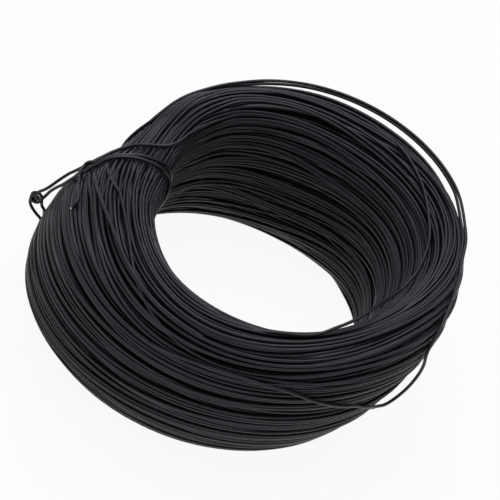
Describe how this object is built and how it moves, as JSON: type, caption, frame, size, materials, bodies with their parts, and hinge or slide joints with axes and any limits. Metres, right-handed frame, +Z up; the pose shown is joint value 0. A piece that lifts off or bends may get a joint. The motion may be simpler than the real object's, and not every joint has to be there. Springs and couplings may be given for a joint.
{
  "type": "coil of binding wire",
  "caption": "Hand-size ring coil of thin black coated binding wire, leaning slightly, tied with its own end, with loose outer turns and an open eye.",
  "frame": {"origin": "on the floor under the middle of the outline, tie and loose turns included", "axes": "+Z up through the eye, which stands upright; +Y towards the back of the coil as pictured; the tie is on the -X side"},
  "size_m": [0.1634, 0.153, 0.0757],
  "materials": {
    "coating": "satin black plastic coating over steel wire",
    "core_steel": "bare cut end of the steel core"
  },
  "bodies": {
    "root": {"coil": "coating", "loose_turn_upper": "coating", "loose_turn_lower": "coating", "eye_turn": "coating", "crossing_turn": "coating", "inner_end": "coating", "tie_loop": "coating", "tie_tail": "coating"}
  },
  "joints": []
}
